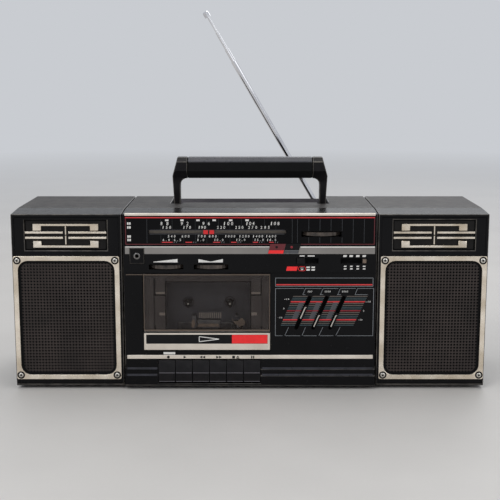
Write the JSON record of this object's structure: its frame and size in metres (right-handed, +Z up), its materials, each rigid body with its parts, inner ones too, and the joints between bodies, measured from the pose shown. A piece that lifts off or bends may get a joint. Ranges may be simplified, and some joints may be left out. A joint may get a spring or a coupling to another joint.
{
  "type": "boombox",
  "caption": "Portable radio cassette stereo with a folding handle, telescopic aerial, tuning dial, equalizer sliders, piano keys and speakers that slide off.",
  "frame": {"origin": "centre of the rectangle the whole object covers seen from above, on the surface its feet stand on", "axes": "+X to the right seen from the front, +Y from the front to the back, +Z up"},
  "size_m": [0.476, 0.148, 0.3846],
  "materials": {
    "front_cabinet": "fine-grained moulded black ABS",
    "rear_cabinet": "fine-grained moulded black ABS",
    "front_foot_left": "black rubber",
    "rear_foot_left": "black rubber",
    "front_foot_right": "black rubber",
    "rear_foot_right": "black rubber",
    "top_trim_bar": "brushed bright aluminium",
    "lower_trim_bar": "brushed bright aluminium",
    "dial_panel": "polished black acrylic",
    "status_band": "satin grey paint on aluminium",
    "phones_jack": "fine-grained moulded black ABS",
    "tuning_wheel": "fine-grained moulded black ABS",
    "volume_wheel": "fine-grained moulded black ABS",
    "balance_wheel": "fine-grained moulded black ABS",
    "dial_pointer": "red translucent plastic",
    "function_switch": "fine-grained moulded black ABS",
    "band_switch": "fine-grained moulded black ABS",
    "equalizer_slider_1": "zinc-plated steel",
    "equalizer_slider_2": "zinc-plated steel",
    "equalizer_slider_3": "zinc-plated steel",
    "cassette_door": "fine-grained moulded black ABS",
    "cassette_window": "smoked clear polystyrene",
    "cassette_door_trim": "brushed bright aluminium",
    "deck_plate": "zinc-plated steel",
    "supply_spindle": "dark grey acetal",
    "take_up_spindle": "dark grey acetal",
    "capstan_flywheel": "zinc-plated steel",
    "head_carriage": "zinc-plated steel",
    "pinch_roller": "black rubber",
    "key_shaft": "zinc-plated steel",
    "record_key": "fine-grained moulded black ABS",
    "play_key": "fine-grained moulded black ABS",
    "rewind_key": "fine-grained moulded black ABS",
    "forward_key": "fine-grained moulded black ABS",
    "stop_key": "fine-grained moulded black ABS",
    "pause_key": "fine-grained moulded black ABS",
    "main_board": "paper-phenolic board",
    "handle_frame": "fine-grained moulded black ABS",
    "handle_grip": "fine-grained moulded black ABS",
    "aerial_post": "polished chrome plate",
    "aerial_tube": "polished chrome plate",
    "aerial_section_2": "polished chrome plate",
    "aerial_section_3": "polished chrome plate",
    "aerial_tip": "polished chrome plate",
    "battery_lid": "fine-grained moulded black ABS",
    "mains_inlet": "fine-grained moulded black ABS",
    "left_speaker_front": "fine-grained moulded black ABS",
    "left_speaker_back": "fine-grained moulded black ABS",
    "left_speaker_frame": "brushed bright aluminium",
    "left_speaker_grille": "black paint on pressed steel",
    "left_woofer": "paper cone in a steel basket",
    "left_tweeter": "paper cone in a steel basket",
    "left_tweeter_grille": "black ABS with bright-plated bars",
    "right_speaker_front": "fine-grained moulded black ABS",
    "right_speaker_back": "fine-grained moulded black ABS",
    "right_speaker_frame": "brushed bright aluminium",
    "right_speaker_grille": "black paint on pressed steel",
    "right_woofer": "paper cone in a steel basket",
    "right_tweeter": "paper cone in a steel basket",
    "right_tweeter_grille": "black ABS with bright-plated bars"
  },
  "bodies": {
    "centre_unit": {"front_cabinet": "front_cabinet", "rear_cabinet": "rear_cabinet", "front_foot_left": "front_foot_left", "front_foot_right": "front_foot_right", "rear_foot_left": "rear_foot_left", "rear_foot_right": "rear_foot_right", "top_trim_bar": "top_trim_bar", "lower_trim_bar": "lower_trim_bar", "dial_panel": "dial_panel", "status_band": "status_band", "phones_jack": "phones_jack", "deck_plate": "deck_plate", "key_shaft": "key_shaft", "main_board": "main_board", "mains_inlet": "mains_inlet"},
    "cassette_door_body": {"cassette_door": "cassette_door", "cassette_window": "cassette_window", "cassette_door_trim": "cassette_door_trim"},
    "handle": {"handle_frame": "handle_frame", "handle_grip": "handle_grip"},
    "left_speaker": {"left_speaker_front": "left_speaker_front", "left_speaker_back": "left_speaker_back", "left_speaker_frame": "left_speaker_frame", "left_speaker_grille": "left_speaker_grille", "left_woofer": "left_woofer", "left_tweeter": "left_tweeter", "left_tweeter_grille": "left_tweeter_grille"},
    "right_speaker": {"right_speaker_front": "right_speaker_front", "right_speaker_back": "right_speaker_back", "right_speaker_frame": "right_speaker_frame", "right_speaker_grille": "right_speaker_grille", "right_woofer": "right_woofer", "right_tweeter": "right_tweeter", "right_tweeter_grille": "right_tweeter_grille"},
    "tuning_wheel_body": {"tuning_wheel": "tuning_wheel"},
    "volume_wheel_body": {"volume_wheel": "volume_wheel"},
    "balance_wheel_body": {"balance_wheel": "balance_wheel"},
    "dial_pointer_body": {"dial_pointer": "dial_pointer"},
    "function_switch_body": {"function_switch": "function_switch"},
    "band_switch_body": {"band_switch": "band_switch"},
    "equalizer_slider_1_body": {"equalizer_slider_1": "equalizer_slider_1"},
    "equalizer_slider_2_body": {"equalizer_slider_2": "equalizer_slider_2"},
    "equalizer_slider_3_body": {"equalizer_slider_3": "equalizer_slider_3"},
    "supply_spindle_body": {"supply_spindle": "supply_spindle"},
    "take_up_spindle_body": {"take_up_spindle": "take_up_spindle"},
    "capstan_flywheel_body": {"capstan_flywheel": "capstan_flywheel"},
    "head_carriage_body": {"head_carriage": "head_carriage"},
    "pinch_roller_body": {"pinch_roller": "pinch_roller"},
    "record_key_body": {"record_key": "record_key"},
    "play_key_body": {"play_key": "play_key"},
    "rewind_key_body": {"rewind_key": "rewind_key"},
    "forward_key_body": {"forward_key": "forward_key"},
    "stop_key_body": {"stop_key": "stop_key"},
    "pause_key_body": {"pause_key": "pause_key"},
    "aerial_post_body": {"aerial_post": "aerial_post"},
    "aerial_tube_body": {"aerial_tube": "aerial_tube"},
    "aerial_section_2_body": {"aerial_section_2": "aerial_section_2"},
    "aerial_section_3_body": {"aerial_section_3": "aerial_section_3"},
    "aerial_tip_body": {"aerial_tip": "aerial_tip"},
    "battery_lid_body": {"battery_lid": "battery_lid"}
  },
  "joints": [
    {"name": "tuning_wheel_turn", "type": "hinge", "parent": "centre_unit", "child": "tuning_wheel_body", "pos_m": [0.0712, -0.046, 0.1598], "axis": [0, 0, 1], "range_deg": [-142, 188]},
    {"name": "dial_pointer_slide", "type": "slide", "parent": "centre_unit", "child": "dial_pointer_body", "axis": [1, 0, 0], "range_m": [-0.053, 0.07]},
    {"name": "volume_wheel_turn", "type": "hinge", "parent": "centre_unit", "child": "volume_wheel_body", "pos_m": [-0.084, -0.052, 0.1265], "axis": [0, 0, 1], "range_deg": [-140, 140]},
    {"name": "balance_wheel_turn", "type": "hinge", "parent": "centre_unit", "child": "balance_wheel_body", "pos_m": [-0.039, -0.052, 0.1265], "axis": [0, 0, 1], "range_deg": [-140, 140]},
    {"name": "function_switch_slide", "type": "slide", "parent": "centre_unit", "child": "function_switch_body", "axis": [1, 0, 0], "range_m": [0, 0.0131]},
    {"name": "band_switch_slide", "type": "slide", "parent": "centre_unit", "child": "band_switch_body", "axis": [1, 0, 0], "range_m": [-0.0209, 0]},
    {"name": "equalizer_slider_1_slide", "type": "slide", "parent": "centre_unit", "child": "equalizer_slider_1_body", "axis": [0.3907, 0, 0.9205], "range_m": [-0.01201, 0.0097]},
    {"name": "equalizer_slider_2_slide", "type": "slide", "parent": "centre_unit", "child": "equalizer_slider_2_body", "axis": [0.3907, 0, 0.9205], "range_m": [-0.00277, 0.01894]},
    {"name": "equalizer_slider_3_slide", "type": "slide", "parent": "centre_unit", "child": "equalizer_slider_3_body", "axis": [0.3907, 0, 0.9205], "range_m": [-0.00277, 0.01894]},
    {"name": "cassette_door_hinge", "type": "hinge", "parent": "centre_unit", "child": "cassette_door_body", "pos_m": [-0.0417, -0.0688, 0.0421], "axis": [1, 0, 0], "range_deg": [0, 38]},
    {"name": "record_key_press", "type": "hinge", "parent": "centre_unit", "child": "record_key_body", "pos_m": [-0.08436, -0.058, 0.0447], "axis": [1, 0, 0], "range_deg": [0, 7], "stiffness_Nm_per_rad": 0.25, "springref_deg": -2.86},
    {"name": "play_key_press", "type": "hinge", "parent": "centre_unit", "child": "play_key_body", "pos_m": [-0.06708, -0.058, 0.0447], "axis": [1, 0, 0], "range_deg": [0, 7], "stiffness_Nm_per_rad": 0.25, "springref_deg": -2.86},
    {"name": "rewind_key_press", "type": "hinge", "parent": "centre_unit", "child": "rewind_key_body", "pos_m": [-0.0498, -0.058, 0.0447], "axis": [1, 0, 0], "range_deg": [0, 7], "stiffness_Nm_per_rad": 0.25, "springref_deg": -2.86},
    {"name": "forward_key_press", "type": "hinge", "parent": "centre_unit", "child": "forward_key_body", "pos_m": [-0.03252, -0.058, 0.0447], "axis": [1, 0, 0], "range_deg": [0, 7], "stiffness_Nm_per_rad": 0.25, "springref_deg": -2.86},
    {"name": "stop_key_press", "type": "hinge", "parent": "centre_unit", "child": "stop_key_body", "pos_m": [-0.01524, -0.058, 0.0447], "axis": [1, 0, 0], "range_deg": [0, 7], "stiffness_Nm_per_rad": 0.25, "springref_deg": -2.86},
    {"name": "pause_key_press", "type": "hinge", "parent": "centre_unit", "child": "pause_key_body", "pos_m": [0.00204, -0.058, 0.0447], "axis": [1, 0, 0], "range_deg": [0, 7], "stiffness_Nm_per_rad": 0.25, "springref_deg": -2.86},
    {"name": "head_carriage_lift", "type": "slide", "parent": "centre_unit", "child": "head_carriage_body", "axis": [0, 0, 1], "range_m": [0, 0.004]},
    {"name": "supply_spindle_spin", "type": "hinge", "parent": "centre_unit", "child": "supply_spindle_body", "pos_m": [-0.06295, -0.0497, 0.0867], "axis": [0, 1, 0], "continuous": true},
    {"name": "take_up_spindle_spin", "type": "hinge", "parent": "centre_unit", "child": "take_up_spindle_body", "pos_m": [-0.02045, -0.0497, 0.0867], "axis": [0, 1, 0], "continuous": true},
    {"name": "capstan_spin", "type": "hinge", "parent": "centre_unit", "child": "capstan_flywheel_body", "pos_m": [-0.0139, -0.0497, 0.0737], "axis": [0, 1, 0], "continuous": true},
    {"name": "pinch_roller_spin", "type": "hinge", "parent": "head_carriage_body", "child": "pinch_roller_body", "pos_m": [-0.0128, -0.0497, 0.0629], "axis": [0, 1, 0], "continuous": true},
    {"name": "handle_fold", "type": "hinge", "parent": "centre_unit", "child": "handle", "pos_m": [0, 0.006, 0.1763], "axis": [-1, 0, 0], "range_deg": [0, 88]},
    {"name": "aerial_swivel", "type": "hinge", "parent": "centre_unit", "child": "aerial_post_body", "pos_m": [0.0785, 0.069, 0.1603], "axis": [0, 0, 1], "range_deg": [-180, 0]},
    {"name": "aerial_tilt", "type": "hinge", "parent": "aerial_post_body", "child": "aerial_tube_body", "pos_m": [0.0785, 0.069, 0.1657], "axis": [0, 1, 0], "range_deg": [-59.6, 30.4]},
    {"name": "aerial_section_2_slide", "type": "slide", "parent": "aerial_tube_body", "child": "aerial_section_2_body", "axis": [-0.506, 0, 0.8625], "range_m": [-0.0148, 0.14]},
    {"name": "aerial_section_3_slide", "type": "slide", "parent": "aerial_section_2_body", "child": "aerial_section_3_body", "axis": [-0.506, 0, 0.8625], "range_m": [-0.0213, 0.13]},
    {"name": "aerial_tip_slide", "type": "slide", "parent": "aerial_section_3_body", "child": "aerial_tip_body", "axis": [-0.506, 0, 0.8625], "range_m": [-0.0186, 0.12]},
    {"name": "battery_lid_hinge", "type": "hinge", "parent": "centre_unit", "child": "battery_lid_body", "pos_m": [-0.04, 0.073, 0.0135], "axis": [-1, 0, 0], "range_deg": [0, 80]},
    {"name": "left_speaker_slide", "type": "slide", "parent": "centre_unit", "child": "left_speaker", "axis": [0, 1, 0], "range_m": [0, 0.09]},
    {"name": "right_speaker_slide", "type": "slide", "parent": "centre_unit", "child": "right_speaker", "axis": [0, 1, 0], "range_m": [0, 0.09]}
  ],
  "couplings": [
    {"joint": "dial_pointer_slide", "follows": "tuning_wheel_turn", "m_per_rad": 0.021},
    {"joint": "play_key_press", "follows": "head_carriage_lift", "rad_per_m": 30.5}
  ]
}
